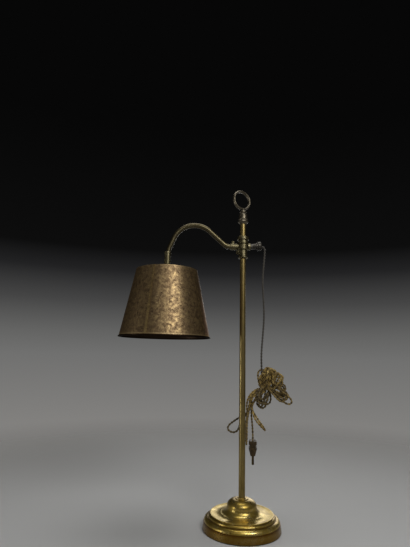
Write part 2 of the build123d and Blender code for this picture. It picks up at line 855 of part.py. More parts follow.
# Lampholder: domed cap, shell, porcelain insert, screw shell, contact and terminals
with BuildPart() as holder_cap:
    shoulder = holder_cap_bottom + holder_skirt_height
    turn(
        [
            (0, holder_top),
            (holder_neck_radius, holder_top),
            (holder_radius, shoulder),
            (holder_radius, holder_cap_bottom),
            (0, holder_cap_bottom),
        ],
        [soft_edge, holder_round, soft_edge],
        arm_axis,
    )
    turn(
        [
            (0, holder_top - 2 * holder_wall),
            (holder_neck_radius - holder_wall, holder_top - 2 * holder_wall),
            (holder_radius - holder_wall, shoulder - holder_wall),
            (holder_radius - holder_wall, holder_cap_bottom - cut_overrun),
            (0, holder_cap_bottom - cut_overrun),
        ],
        [soft_edge, holder_round - holder_wall, 0],
        arm_axis,
        Mode.SUBTRACT,
    )
    rod(arm_radius + running_play, holder_cap_bottom, holder_top + cut_overrun, arm_axis, Mode.SUBTRACT)
keep(holder_cap, "holder_cap")

key_axis = Axis((-arm_reach, 0, key_level), (0, -1, 0))
with BuildPart() as holder_shell:
    rod(shell_radius, shell_bottom, shell_top, arm_axis)
    rod(shell_radius - holder_wall, shell_bottom - cut_overrun, shell_top + cut_overrun, arm_axis,
        Mode.SUBTRACT)
    rod(key_shank_radius + running_play, 0, holder_radius + cut_overrun, key_axis, Mode.SUBTRACT)
keep(holder_shell, "holder_shell")

with BuildPart() as holder_insert:
    rod(insert_radius, insert_bottom, insert_top, arm_axis)
    rod(screw_shell_radius + running_play, insert_bottom - cut_overrun, insert_seat, arm_axis, Mode.SUBTRACT)
    rod(key_shank_radius + running_play, insert_radius - key_depth, insert_radius + cut_overrun, key_axis,
        Mode.SUBTRACT)
keep(holder_insert, "holder_insert")

with BuildPart() as screw_shell:
    rod(screw_shell_radius, screw_shell_bottom, insert_seat, arm_axis)
    rod(screw_shell_radius - screw_shell_wall, screw_shell_bottom - cut_overrun, insert_seat + cut_overrun,
        arm_axis, Mode.SUBTRACT)
keep(screw_shell, "screw_shell")

with BuildPart() as centre_contact:
    turn(
        [
            (0, insert_seat),
            (contact_radius, insert_seat),
            (contact_radius, insert_seat - contact_height),
            (0, insert_seat - contact_height),
        ],
        [0, contact_height / 2],
        arm_axis,
    )
keep(centre_contact, "centre_contact")

with BuildPart() as terminal_screws:
    for side in (-1, 1):
        place = side * terminal_place - arm_reach
        rod(terminal_radius, insert_top, insert_top + terminal_height, upright(place, 0))
    with BuildSketch(Plane((-arm_reach, 0, insert_top + terminal_height))) as slots:
        Rectangle(2 * (terminal_place + terminal_radius + cut_overrun), terminal_slot)
    extrude(slots.sketch, amount=-terminal_slot, mode=Mode.SUBTRACT)
keep(terminal_screws, "terminal_screws")

# Turn switch: spindle and flat key
key_start = shell_radius + key_reach
with BuildPart() as switch_spindle:
    rod(key_shank_radius, insert_radius - key_depth + body_gap, key_start, key_axis)
keep(switch_spindle, "switch_spindle")

with BuildPart() as switch_key:
    with BuildSketch(Plane((-arm_reach, -key_start, key_level), z_dir=(0, -1, 0))):
        RectangleRounded(key_thickness + 2 * soft_edge, key_height, key_thickness / 2)
    with BuildSketch(Plane((-arm_reach, -key_start - key_width, key_level), z_dir=(0, -1, 0))):
        RectangleRounded(key_thickness, key_height + key_thickness, key_thickness / 3)
    loft()
keep(switch_key, "switch_key")

# Bulb: screw cap and a pear-shaped glass
with BuildPart() as bulb_cap:
    rod(bulb_cap_radius, bulb_neck, bulb_cap_top, arm_axis)
    rod(bulb_cap_radius - bulb_cap_wall, bulb_neck - cut_overrun, bulb_cap_top - bulb_cap_wall, arm_axis,
        Mode.SUBTRACT)
keep(bulb_cap, "bulb_cap")

bulb_middle = bulb_neck - bulb_height + bulb_radius
with BuildPart() as bulb_glass_body:
    for inset, mode in ((0, Mode.ADD), (bulb_glass, Mode.SUBTRACT)):
        with BuildSketch(lathe_plane(arm_axis)) as pear:
            with BuildLine():
                neck = Line(
                    (0, bulb_neck - inset),
                    (bulb_cap_radius - bulb_cap_wall - running_play - inset, bulb_neck - inset),
                )
                waist = Line(neck @ 1, (neck @ 1) - (0, bulb_collar))
                belly = (bulb_radius - inset, bulb_middle)
                Spline(waist @ 1, belly, tangents=[(0, -1), (0, -1)])
                CenterArc((0, bulb_middle), bulb_radius - inset, 0, -90)
                Line((0, bulb_middle - bulb_radius + inset), neck @ 0)
            make_face()
        revolve(pear.sketch, axis=arm_axis, mode=mode)
keep(bulb_glass_body, "bulb_glass")

# Flex: a tube along each free stretch, and one solid for the hank
cord_routes = {
    "cord_drop": drop_route,
    "cord_left_loop": left_loop_route,
    "cord_bight": bight_route,
    "cord_fold": fold_route,
    "cord_tail": tail_route,
}
for cord_name, cord_points in cord_routes.items():
    cord_radii = route_radii(cord_points)
    with BuildPart() as cord:
        cord_length = tube(cord_points, cord_radii, cord_radius)
    keep(cord, cord_name)
    volume_share = cord.part.volume / (pi * cord_radius**2 * cord_length)
    print(cord_name, "length", round(cord_length, 1), "volume share", round(volume_share, 4))
    print("  radii", [round(radius, 1) for radius in cord_radii])

with BuildPart() as cord_hank:
    for place, way, half_length, radius in hank_lobe_shares:
        lobe_middle = Vector(*hank_middle) + Vector(*place) * hank_size
        lobe_axis = Axis(lobe_middle, way)
        with BuildSketch(lathe_plane(lobe_axis)) as lobe:
            with BuildLine():
                EllipticalCenterArc(
                    (0, 0), radius * hank_size, half_length * hank_size, start_angle=-90, arc_size=180
                )
                Line((0, half_length * hank_size), (0, -half_length * hank_size))
            make_face()
        revolve(lobe.sketch, axis=lobe_axis)
keep(cord_hank, "cord_hank")

# Plug: cap with a waist for the fingers, base that tapers to the pins, pins and a fixing screw
with BuildPart() as plug_cap:
    rounded_slab(
        plug_thickness - 2 * plug_waist_inset, plug_depth - 2 * plug_waist_inset, plug_rim_top,
        plug_waist_height
    )
    rounded_slab(
        plug_thickness - plug_top_inset, plug_depth - plug_top_inset, plug_rim_top + plug_waist_height,
        plug_top_height
    )
    fillet(plug_cap.faces().sort_by(Axis.Z)[-1].edges(), 2 * plug_edge)
    rod(cord_radius + running_play, plug_top - plug_entry_depth, plug_top + cut_overrun,
        upright(*plug_place), Mode.SUBTRACT)
keep(plug_cap, "plug_cap")

with BuildPart() as plug_base:
    rounded_slab(plug_thickness, plug_depth, plug_rim_bottom, plug_rim_height)
    with BuildSketch(plug_plane(plug_rim_bottom)) as body_top:
        plug_outline(plug_thickness - plug_top_inset, plug_depth - 2 * plug_top_inset)
    with BuildSketch(plug_plane(plug_nose)) as body_nose:
        plug_outline(plug_nose_thickness, plug_depth - 2 * plug_nose_inset)
    loft([body_top.sketch, body_nose.sketch])
    fillet(plug_base.faces().sort_by(Axis.Z)[0].edges(), plug_edge)
    for pin_axis in pin_axes():
        rod(pin_root_radius, plug_nose - cut_overrun, plug_nose + pin_seat, pin_axis, Mode.SUBTRACT)
    rod(plug_screw_radius, plug_nose - cut_overrun, plug_nose + plug_screw_length, upright(*plug_place),
        Mode.SUBTRACT)
keep(plug_base, "plug_base")

with BuildPart() as plug_pins:
    for pin_axis in pin_axes():
        turn(
            [
                (0, plug_nose + pin_seat),
                (pin_root_radius, plug_nose + pin_seat),
                (pin_root_radius, plug_nose),
                (pin_radius, plug_nose),
                (pin_radius, plug_nose - pin_length),
                (0, plug_nose - pin_length),
            ],
            [0, 0, 0, pin_radius / 2],
            pin_axis,
        )
keep(plug_pins, "plug_pins")

with BuildPart() as plug_screw:
    rod(plug_screw_radius, plug_nose, plug_nose + plug_screw_length, upright(*plug_place))
    with BuildSketch(plug_plane(plug_nose)) as slot:
        Rectangle(plug_screw_slot, 2 * plug_screw_radius + cut_overrun)
    extrude(slot.sketch, amount=plug_screw_slot, mode=Mode.SUBTRACT)
keep(plug_screw, "plug_screw")

# One file per piece
os.makedirs("parts", exist_ok=True)
for piece_name, piece in made.items():
    export_step(piece, f"parts/{piece_name}.step")
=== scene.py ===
"""Looks of a brass rise-and-fall desk lamp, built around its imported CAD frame.

Metres, +Z up, in the frame's own axes: the origin is on the stem's axis on the table, the arm points along -X
and the flex leaves the boss along +X.
"""
import json
from math import cos, pi, radians, sin

import bpy
import numpy as np
from mathutils import Matrix, Vector

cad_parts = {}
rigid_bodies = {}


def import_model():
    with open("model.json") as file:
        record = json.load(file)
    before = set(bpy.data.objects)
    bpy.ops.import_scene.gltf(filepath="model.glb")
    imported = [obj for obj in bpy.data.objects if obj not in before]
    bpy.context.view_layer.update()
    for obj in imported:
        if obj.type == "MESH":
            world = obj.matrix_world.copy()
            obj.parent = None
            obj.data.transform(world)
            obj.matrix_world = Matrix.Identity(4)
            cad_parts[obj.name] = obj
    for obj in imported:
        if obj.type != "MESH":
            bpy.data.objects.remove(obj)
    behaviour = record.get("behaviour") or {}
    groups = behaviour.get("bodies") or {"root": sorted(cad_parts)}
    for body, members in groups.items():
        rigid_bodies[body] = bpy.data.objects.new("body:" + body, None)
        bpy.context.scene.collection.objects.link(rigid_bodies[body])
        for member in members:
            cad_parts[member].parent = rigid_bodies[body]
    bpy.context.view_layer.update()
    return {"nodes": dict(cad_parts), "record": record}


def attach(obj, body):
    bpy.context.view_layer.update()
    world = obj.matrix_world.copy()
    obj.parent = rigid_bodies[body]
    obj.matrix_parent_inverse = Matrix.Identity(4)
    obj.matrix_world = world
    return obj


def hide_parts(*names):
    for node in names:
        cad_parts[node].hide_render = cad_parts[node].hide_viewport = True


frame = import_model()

nodes = frame["nodes"]
mm = 0.001
chance = np.random.default_rng(seed=7)

# Camera: where the photograph was taken from
image_long_side = 547
focal_pixels = 424.0
sensor_width = 36.0
camera_place = np.array([-0.15482, -0.90203, 0.33179])
camera_yaw = radians(4.5405)
camera_pitch = radians(11.0324)
camera_roll = radians(1.2678)

# Shade: the cone's outer face, as in the CAD
shade_axis_x = -0.1655
shade_top, shade_foot = 0.5115, 0.3704
shade_top_radius, shade_foot_radius = 0.0656, 0.09457
shade_sheet_thickness = 0.6 * mm
# How deep in the sheet the inner face's painted shade starts and is full, as shares of its thickness
inner_starts, inner_full = 0.4, 0.6

# Bulb: the pressed glass stem in its neck, as (radius, drop) pairs, and its wires
bulb_neck = (shade_axis_x, 0.0, 0.4460)
bulb_stem_profile = [(6.5, 0.4), (5.6, 3.0), (3.8, 8.0), (2.9, 13.0), (2.6, 20.0), (1.6, 21.0)]
bulb_stem_sides = 24
lead_route = [(1.3, 16.0), (1.8, 24.0), (5.0, 30.0), (10.5, 34.5)]
lead_radius = 0.35 * mm
filament_half_span, filament_level, filament_sag = 10.5 * mm, 34.5 * mm, 4.0 * mm
filament_turns, filament_turn_points = 30, 12
filament_coil_radius, filament_wire_radius = 0.55 * mm, 0.16 * mm
filament_heading = radians(35)
wire_sides = 6

# Flex: a twisted pair
strand_radius = 1.3 * mm
strand_offset = 0.92 * mm
twist_pitch = 13.0 * mm
ring_spacing = 1.3 * mm
strand_sides = 8

# Routes of the flex where it isn't hanked
drop_route = [
    (0.0328, 0.0, 0.57424), (0.0486, 0.0, 0.57604), (0.0488, 0.0, 0.5550), (0.0462, 0.0, 0.5310),
    (0.0435, 0.0, 0.4890), (0.0460, 0.0, 0.4500), (0.0469, 0.0, 0.4150), (0.0438, 0.0005, 0.3770),
    (0.0404, 0.0015, 0.3380), (0.0420, 0.0040, 0.3020),
]
neck_route = [
    (0.0340, 0.0130, 0.2630), (0.0250, 0.0160, 0.2550), (0.0215, 0.0190, 0.2440), (0.0220, 0.0210, 0.2330),
    (0.0195, 0.0225, 0.2230),
]
left_loop_route = [
    (0.0120, 0.0235, 0.2145), (-0.0024, 0.0230, 0.2065), (-0.0150, 0.0220, 0.1990),
    (-0.0255, 0.0215, 0.1910), (-0.0272, 0.0215, 0.1830), (-0.0200, 0.0220, 0.1775),
    (-0.0105, 0.0230, 0.1768), (-0.0035, 0.0250, 0.1825), (0.0, 0.0280, 0.1925), (0.0070, 0.0294, 0.2043),
    (0.0155, 0.0276, 0.2140),
]
first_turn = [
    (0.0140, 0.0265, 0.2260), (0.0145, 0.0255, 0.2390), (0.0190, 0.0240, 0.2510), (0.0280, 0.0225, 0.2610),
    (0.0395, 0.0195, 0.2670), (0.0460, 0.0110, 0.2680), (0.0395, 0.0025, 0.2630), (0.0285, 0.0025, 0.2560),
    (0.0200, 0.0070, 0.2460), (0.0165, 0.0130, 0.2350),
]
bight_route = [
    (0.0165, 0.0185, 0.2220), (0.0116, 0.0170, 0.2040), (0.0106, 0.0158, 0.1840), (0.0108, 0.0149, 0.1685),
    (0.0113, 0.0149, 0.1595), (0.0124, 0.0182, 0.1540), (0.0138, 0.0266, 0.1540), (0.0149, 0.0299, 0.1595),
    (0.0152, 0.0296, 0.1685), (0.0149, 0.0280, 0.1840), (0.0156, 0.0258, 0.2040), (0.0185, 0.0235, 0.2190),
]
second_turn = [
    (0.0200, 0.0240, 0.2310), (0.0195, 0.0235, 0.2430), (0.0235, 0.0225, 0.2540), (0.0330, 0.0215, 0.2630),
    (0.0440, 0.0180, 0.2660), (0.0495, 0.0095, 0.2650), (0.0420, 0.0015, 0.2590), (0.0315, 0.0025, 0.2510),
    (0.0248, 0.0075, 0.2410), (0.0228, 0.0135, 0.2300),
]
fold_route = [
    (0.0245, 0.0185, 0.2220), (0.0290, 0.0175, 0.2055), (0.0409, 0.0166, 0.1914), (0.0476, 0.0165, 0.1856),
    (0.0521, 0.0198, 0.1812), (0.0534, 0.0282, 0.1824), (0.0502, 0.0315, 0.1878), (0.0438, 0.0310, 0.1956),
    (0.0336, 0.0290, 0.2095), (0.0260, 0.0255, 0.2210),
]
third_turn = [
    (0.0255, 0.0265, 0.2310), (0.0245, 0.0265, 0.2430), (0.0280, 0.0255, 0.2540), (0.0370, 0.0235, 0.2640),
    (0.0480, 0.0190, 0.2690), (0.0530, 0.0105, 0.2670), (0.0450, 0.0030, 0.2590), (0.0345, 0.0050, 0.2500),
    (0.0268, 0.0105, 0.2410), (0.0235, 0.0170, 0.2310),
]
tail_route = [
    (0.0230, 0.0220, 0.2220), (0.0238, 0.0235, 0.2060), (0.0262, 0.0253, 0.1900), (0.0272, 0.0260, 0.1720),
    (0.0272, 0.0260, 0.1545),
]

# Hank: a loose skein, which goes up and down by turns; each loop from its root out to its tip, as (x, z) pairs
upper_loops = [
    ((0.056, 0.268), (0.067, 0.304)), ((0.058, 0.268), (0.073, 0.303)), ((0.060, 0.269), (0.079, 0.299)),
    ((0.062, 0.270), (0.084, 0.292)), ((0.058, 0.268), (0.076, 0.298)), ((0.060, 0.269), (0.083, 0.287)),
    ((0.048, 0.264), (0.047, 0.304)), ((0.049, 0.264), (0.050, 0.307)), ((0.051, 0.264), (0.054, 0.308)),
    ((0.053, 0.265), (0.057, 0.307)), ((0.054, 0.265), (0.061, 0.307)), ((0.049, 0.263), (0.047, 0.298)),
    ((0.055, 0.264), (0.064, 0.305)), ((0.050, 0.266), (0.051, 0.302)), ((0.052, 0.265), (0.055, 0.300)),
    ((0.056, 0.266), (0.062, 0.300)), ((0.058, 0.268), (0.070, 0.298)), ((0.054, 0.266), (0.058, 0.303)),
]
lower_loops = [
    ((0.047, 0.272), (0.044, 0.239)), ((0.046, 0.271), (0.041, 0.237)), ((0.043, 0.270), (0.035, 0.241)),
    ((0.045, 0.271), (0.039, 0.234)), ((0.046, 0.272), (0.042, 0.230)), ((0.050, 0.273), (0.047, 0.244)),
    ((0.044, 0.271), (0.040, 0.248)), ((0.052, 0.272), (0.050, 0.237)), ((0.060, 0.277), (0.091, 0.266)),
    ((0.060, 0.276), (0.093, 0.259)), ((0.060, 0.275), (0.095, 0.252)), ((0.060, 0.273), (0.098, 0.246)),
    ((0.060, 0.272), (0.101, 0.240)), ((0.059, 0.272), (0.089, 0.248)), ((0.060, 0.276), (0.090, 0.262)),
    ((0.058, 0.272), (0.086, 0.255)), ((0.060, 0.274), (0.094, 0.256)), ((0.060, 0.275), (0.092, 0.250)),
]
hank_depth = (-0.004, 0.017)
loop_half_width = (0.0073, 0.0095)
# How far chance moves a loop's root, its tip and its tip's depth, and how many degrees it turns the loop
root_scatter, tip_scatter, tip_depth_scatter, loop_roll = 0.003, 0.002, 0.007, 48
# One loop's control points, as shares of its half width and its length, and how many its two ends leave out
loop_outline = np.array([
    (-0.70, 0.02), (-0.84, 0.22), (-1.00, 0.45), (-1.08, 0.66), (-1.04, 0.84), (-0.72, 0.99), (0.00, 1.05),
    (0.72, 0.99), (1.04, 0.84), (1.08, 0.66), (1.00, 0.45), (0.84, 0.22), (0.70, 0.02),
])
inner_points, outer_points = 2, 1

# How much painted shade each stretch of the flex has: 0 is the cotton's own colour, and near 1 it is painted dark
# grey
drop_shade = 0.97
left_lobe_shade, right_lobe_shade, upper_lobe_shade = 0.70, 0.48, 0.12
stretches_after_hank = [
    (neck_route, 0.10), (left_loop_route, 0.75), (first_turn, 0.0), (bight_route, 0.45), (second_turn, 0.0),
    (fold_route, 0.05), (third_turn, 0.0), (tail_route, 0.60),
]

# Braid: its threads' angle, the millimetres of flex to a radian of their wave, and the size in millimetres of faded
# patches. A thread every 7 mm is coarser than a real one, so that it shows. The wave texture has 20 radians to a
# unit of length at scale 1.
braid_angle = radians(38)
braid_step = 1.1
wave_radians = 20
fade_size = 40

# Brass: how many specks go across a cloud of tarnish, the grain's values where specks start and are full, and how
# strong they are
specks_across_cloud = 7
speck_starts, speck_full, speck_strength = 0.56, 0.74, 0.75
# The dark spots' spacing and size as shares of a cloud, a spot's solid core as a share of it, and how strong it is
spot_spacing, spot_share, spot_core, spot_strength = 0.8, 0.16, 0.3, 0.8
# The size of hammer marks in millimetres
hammer_mark = 5
# The values of a cloud pattern between which the roughness goes from dull to clean
cloud_low, cloud_high = 0.3, 0.7


def linear(code):
    """Linear RGBA of an sRGB hex colour."""
    shares = [int(code[start:start + 2], 16) / 255 for start in (1, 3, 5)]
    return [c / 12.92 if c <= 0.04045 else ((c + 0.055) / 1.055) ** 2.4 for c in shares] + [1.0]


def repeats(size):
    """Texture scale at which a pattern on metres repeats about once in a size in millimetres."""
    return 1 / (size * mm)


def add(tree, kind, inputs=None, stops=None, **settings):
    """Add a node with its settings, its inputs by socket name or number as links or values, and a ramp's stops."""
    node = tree.nodes.new(kind)
    for name, value in settings.items():
        setattr(node, name, value)
    for socket, value in (inputs or {}).items():
        if isinstance(value, bpy.types.NodeSocket):
            tree.links.new(value, node.inputs[socket])
        else:
            node.inputs[socket].default_value = value
    if stops:
        ramp = node.color_ramp
        while len(ramp.elements) < len(stops):
            ramp.elements.new(1.0)
        for element, (place, colour) in zip(ramp.elements, stops):
            element.position = place
            element.color = linear(colour)
    return node


def material(name):
    """New node material: the material, its tree, its shader and its Object coordinates."""
    made = bpy.data.materials.new(name)
    made.use_nodes = True
    tree = made.node_tree
    place = add(tree, "ShaderNodeTexCoord").outputs["Object"]
    return made, tree, tree.nodes["Principled BSDF"], place


def surface(name, grids, ring_rows, cell, marks=None):
    """One mesh of several grids of points, each (rows, columns, 3) and closed round its columns.

    Rows are joined end to end if ring_rows, and capped if not. UV is in metres: column and row number times
    the cell's two sides. Faces are turned so that the enclosed volume is positive.
    """
    corners, faces, uvs, first = [], [], [], 0
    for grid in grids:
        rows, columns = grid.shape[:2]
        index = np.arange(rows * columns).reshape(rows, columns)
        row = np.arange(rows if ring_rows else rows - 1)[:, None]
        column = np.arange(columns)[None, :]
        steps = [(0, 0), (0, 1), (1, 1), (1, 0)]
        quads = np.stack([index[(row + r) % rows, (column + c) % columns] for r, c in steps], -1).reshape(-1, 4)
        flat = np.stack([np.broadcast_to(np.stack(np.broadcast_arrays((column + c) * cell[0], (row + r) * cell[1]),
                         -1), (len(row), columns, 2)) for r, c in steps], 2).reshape(-1, 4, 2)
        points = grid.reshape(-1, 3)
        a, b, c, d = (points[quads[:, k]] for k in range(4))
        volume = np.einsum("ij,ij->", a, np.cross(b, c)) + np.einsum("ij,ij->", a, np.cross(c, d))
        turned = volume < 0
        if turned:
            quads, flat = quads[:, ::-1], flat[:, ::-1]
        faces += (quads + first).tolist()
        uvs.append(flat.reshape(-1, 2))
        if not ring_rows:
            ends = [index[0][::-1], index[-1]]
            faces += [(end[::-1] if turned else end).tolist() for end in (ends[0] + first, ends[1] + first)]
            uvs.append(np.zeros((2 * columns, 2)))
        corners.append(points)
        first += rows * columns
    mesh = bpy.data.meshes.new(name)
    mesh.from_pydata(np.concatenate(corners).tolist(), [], faces)
    mesh.uv_layers.new(name="UVMap").data.foreach_set("uv", np.concatenate(uvs).ravel())
    for mark, values in (marks or {}).items():
        mesh.attributes.new(mark, "FLOAT", "POINT").data.foreach_set("value", values.ravel())
    mesh.shade_smooth()
    mesh.update()
    return mesh


def piece(name, mesh, finish, body, slot, *replaced):
    """Put a finished mesh into the scene as a piece that rides on a body and stands for CAD nodes."""
    made = bpy.data.objects.new(name, mesh)
    bpy.context.scene.collection.objects.link(made)
    mesh.materials.append(finish)
    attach(made, body)
    if replaced:
        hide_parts(*replaced)
    return made


def spline_points(control):
    """Points along the smooth NURBS line of a list of control points, evenly spaced by ring_spacing.

    With each point goes its place in the list of control points, as a number that runs from 0 to the last one.
    """
    curve = bpy.data.curves.new("route", "CURVE")
    curve.dimensions = "3D"
    curve.resolution_u = 16
    line = curve.splines.new("NURBS")
    line.points.add(len(control) - 1)
    line.points.foreach_set("co", np.hstack([control, np.ones((len(control), 1))]).ravel())
    line.order_u = 3
    line.use_endpoint_u = True
    route = bpy.data.objects.new("route", curve)
    drawn = bpy.data.meshes.new_from_object(route)
    points = np.empty(len(drawn.vertices) * 3)
    drawn.vertices.foreach_get("co", points)
    points = points.reshape(-1, 3)
    for block, store in ((route, bpy.data.objects), (curve, bpy.data.curves), (drawn, bpy.data.meshes)):
        store.remove(block)
    gone = np.concatenate([[0], np.cumsum(np.linalg.norm(np.diff(points, axis=0), axis=1))])
    stations = np.linspace(0, gone[-1], int(gone[-1] / ring_spacing))
    places = np.interp(stations, gone, np.linspace(0, len(control) - 1, len(points)))
    return np.stack([np.interp(stations, gone, points[:, k]) for k in range(3)], 1), places


def unit(vectors):
    """Vectors scaled to length 1."""
    return vectors / np.linalg.norm(vectors, axis=-1, keepdims=True)


def carried_frames(points):
    """Two unit vectors square to a line at each of its points, carried along it without twist."""
    ahead = unit(np.gradient(points, axis=0))
    off_line = (0.3, 1.0, 0.2)  # any direction that the line doesn't start along
    side = unit(np.cross(ahead[0], off_line))
    sides = []
    for way in ahead:
        side = side - way * (side @ way)
        side = side / np.linalg.norm(side)
        sides.append(side)
    sides = np.array(sides)
    return sides, np.cross(ahead, sides)


def tube(points, radius, sides, side_a, side_b):
    """Grid of a round tube along a line: at each point a ring on two unit vectors across the line."""
    around = 2 * pi * np.arange(sides) / sides
    ring = np.cos(around)[None, :, None] * side_a[:, None] + np.sin(around)[None, :, None] * side_b[:, None]
    return points[:, None] + radius * ring


def loop_points(root, tip):
    """Control points of one loop of the hank: its outline, laid from the root to the tip and turned a little."""
    depth = chance.uniform(*hank_depth)
    root = np.array([root[0], depth, root[1]]) + chance.uniform(-root_scatter, root_scatter, 3)
    tip_depth = depth + chance.uniform(-tip_depth_scatter, tip_depth_scatter)
    tip = np.array([tip[0], tip_depth, tip[1]]) + chance.uniform(-tip_scatter, tip_scatter, 3)
    out = tip - root
    flat = unit(np.cross(out, (0, 1, 0)))
    roll = radians(chance.uniform(-loop_roll, loop_roll))
    wide = flat * cos(roll) + unit(np.cross(out, flat)) * sin(roll)
    across = loop_outline[:, 0] * chance.uniform(*loop_half_width)
    return root + np.outer(loop_outline[:, 1], out) + np.outer(across, wide)


def brass(name, tones, speck, spot, patch, rough, fleck=None, pit=None, grain_depth=0.15, hammer=0.0,
          drawn=(1, 1, 1), metallic=1.0, tarnish_and_shade=None, wear_and_highlight=None, inside=None, edge=None):
    """Brass sheet or rod with cloudy tarnish, pale rubbed specks and dark spots.

    tones runs from the deepest tarnish to the cleanest metal, patch is the clouds' size in millimetres, and rough
    the roughness of clean and tarnished metal. fleck is the specks' size and pit about the radius of the largest
    dark spots, in millimetres, and both follow patch if they aren't given. grain_depth and hammer are the depth in
    millimetres of the grain and of hammer marks, and drawn is the stretch of the clouds along the work's direction.
    The first list of height stops darkens the metal for tarnish and painted shade, and the second lightens it for
    rubbing, paler stretches and a painted highlight; both are (metres, grey) stops. inside is the dark colour
    painted as shade on the lampshade's inner face: points nearer to the shade's axis than the cone's outer face
    less half the sheet. edge is the tint of what the metal reflects at a grazing angle.
    """
    made, tree, shader, place = material(name)
    along = add(tree, "ShaderNodeMapping", {"Vector": place, "Scale": drawn}).outputs[0]
    clouds = add(tree, "ShaderNodeTexNoise", {"Vector": along, "Scale": repeats(patch), "Detail": 7.0,
                                              "Roughness": 0.62, "Distortion": 0.4}).outputs["Fac"]
    colour = add(tree, "ShaderNodeValToRGB", {"Fac": clouds},
                 stops=[(0.30, tones[0]), (0.47, tones[1]), (0.68, tones[2])]).outputs[0]
    speck_size = fleck or patch / specks_across_cloud
    grain = add(tree, "ShaderNodeTexNoise", {"Vector": along, "Scale": repeats(speck_size), "Detail": 4.0,
                                             "Roughness": 0.7}).outputs["Fac"]
    rubbed = add(tree, "ShaderNodeMapRange", {0: grain, 1: speck_starts, 2: speck_full, 3: 0.0,
                                              4: speck_strength}).outputs[0]
    colour = add(tree, "ShaderNodeMix", {0: rubbed, 6: colour, 7: linear(speck)}, data_type="RGBA").outputs[2]
    pits = add(tree, "ShaderNodeTexVoronoi", {"Vector": place, "Scale": repeats(patch * spot_spacing)}).outputs
    own_size = add(tree, "ShaderNodeSeparateColor", {0: pits["Color"]}).outputs[0]
    apart = add(tree, "ShaderNodeMath", {0: pits["Distance"], 1: own_size}, operation="DIVIDE").outputs[0]
    reach = (pit or patch * spot_share) / patch
    spots = add(tree, "ShaderNodeMapRange", {0: apart, 1: spot_core * reach, 2: reach, 3: spot_strength,
                                             4: 0.0}).outputs[0]
    colour = add(tree, "ShaderNodeMix", {0: spots, 6: colour, 7: linear(spot)}, data_type="RGBA").outputs[2]
    height = add(tree, "ShaderNodeSeparateXYZ", {0: place}).outputs["Z"]
    # Height stops: the first list darkens for tarnish and painted shade, the second lightens for rubbing and a
    # painted highlight
    for stops, tint in ((tarnish_and_shade, spot), (wear_and_highlight, speck)):
        if stops:
            low, high = stops[0][0], stops[-1][0]
            share = add(tree, "ShaderNodeMapRange", {0: height, 1: low, 2: high}).outputs[0]
            amount = add(tree, "ShaderNodeValToRGB", {"Fac": share},
                         stops=[((rise - low) / (high - low), grey) for rise, grey in stops]).outputs[0]
            colour = add(tree, "ShaderNodeMix", {0: amount, 6: colour, 7: linear(tint)},
                         data_type="RGBA").outputs[2]
    # Painted shade: the lampshade's inner face is given a dark colour
    if inside:
        off_axis = add(tree, "ShaderNodeMapping", {"Vector": place, "Location": (-shade_axis_x, 0, 0),
                                                   "Scale": (1, 1, 0)}).outputs[0]
        radius = add(tree, "ShaderNodeVectorMath", {0: off_axis}, operation="LENGTH").outputs["Value"]
        outer = add(tree, "ShaderNodeMapRange", {0: height, 1: shade_foot, 2: shade_top, 3: shade_foot_radius,
                                                 4: shade_top_radius}, clamp=False).outputs[0]
        depth = add(tree, "ShaderNodeMath", {0: outer, 1: radius}, operation="SUBTRACT").outputs[0]
        hidden = add(tree, "ShaderNodeMapRange", {0: depth, 1: inner_starts * shade_sheet_thickness,
                                                  2: inner_full * shade_sheet_thickness}).outputs[0]
        colour = add(tree, "ShaderNodeMix", {0: hidden, 6: colour, 7: linear(inside)}, data_type="RGBA").outputs[2]
    tree.links.new(colour, shader.inputs["Base Color"])
    shader.inputs["Metallic"].default_value = metallic
    dull = add(tree, "ShaderNodeMapRange", {0: clouds, 1: cloud_low, 2: cloud_high, 3: rough[1],
                                            4: rough[0]}).outputs[0]
    tree.links.new(dull, shader.inputs["Roughness"])
    bump = add(tree, "ShaderNodeBump", {"Height": grain, "Strength": 0.25, "Distance": grain_depth * mm}).outputs[0]
    if hammer:
        marks = add(tree, "ShaderNodeTexVoronoi", {"Vector": place, "Scale": repeats(hammer_mark),
                                                   "Smoothness": 0.8}, feature="SMOOTH_F1").outputs["Distance"]
        bump = add(tree, "ShaderNodeBump", {"Height": marks, "Distance": hammer * mm, "Normal": bump}).outputs[0]
    tree.links.new(bump, shader.inputs["Normal"])
    if edge:
        shader.inputs["Specular Tint"].default_value = linear(edge)
    return made


def plain(name, dark, pale, size, rough, depth, **sockets):
    """A moulded, fired, cast or pressed material: two tones in a fine cloud, with its own grain in relief."""
    made, tree, shader, place = material(name)
    clouds = add(tree, "ShaderNodeTexNoise", {"Vector": place, "Scale": repeats(size), "Detail": 5.0,
                                              "Roughness": 0.65}).outputs["Fac"]
    tone = add(tree, "ShaderNodeValToRGB", {"Fac": clouds}, stops=[(0.35, dark), (0.65, pale)]).outputs[0]
    tree.links.new(tone, shader.inputs["Base Color"])
    dull = add(tree, "ShaderNodeMapRange", {0: clouds, 1: cloud_low, 2: cloud_high, 3: rough[1],
                                            4: rough[0]}).outputs[0]
    tree.links.new(dull, shader.inputs["Roughness"])
    bump = add(tree, "ShaderNodeBump", {"Height": clouds, "Strength": 0.4, "Distance": depth * mm}).outputs[0]
    tree.links.new(bump, shader.inputs["Normal"])
    for socket, value in sockets.items():
        shader.inputs[socket.replace("_", " ")].default_value = value
    return made


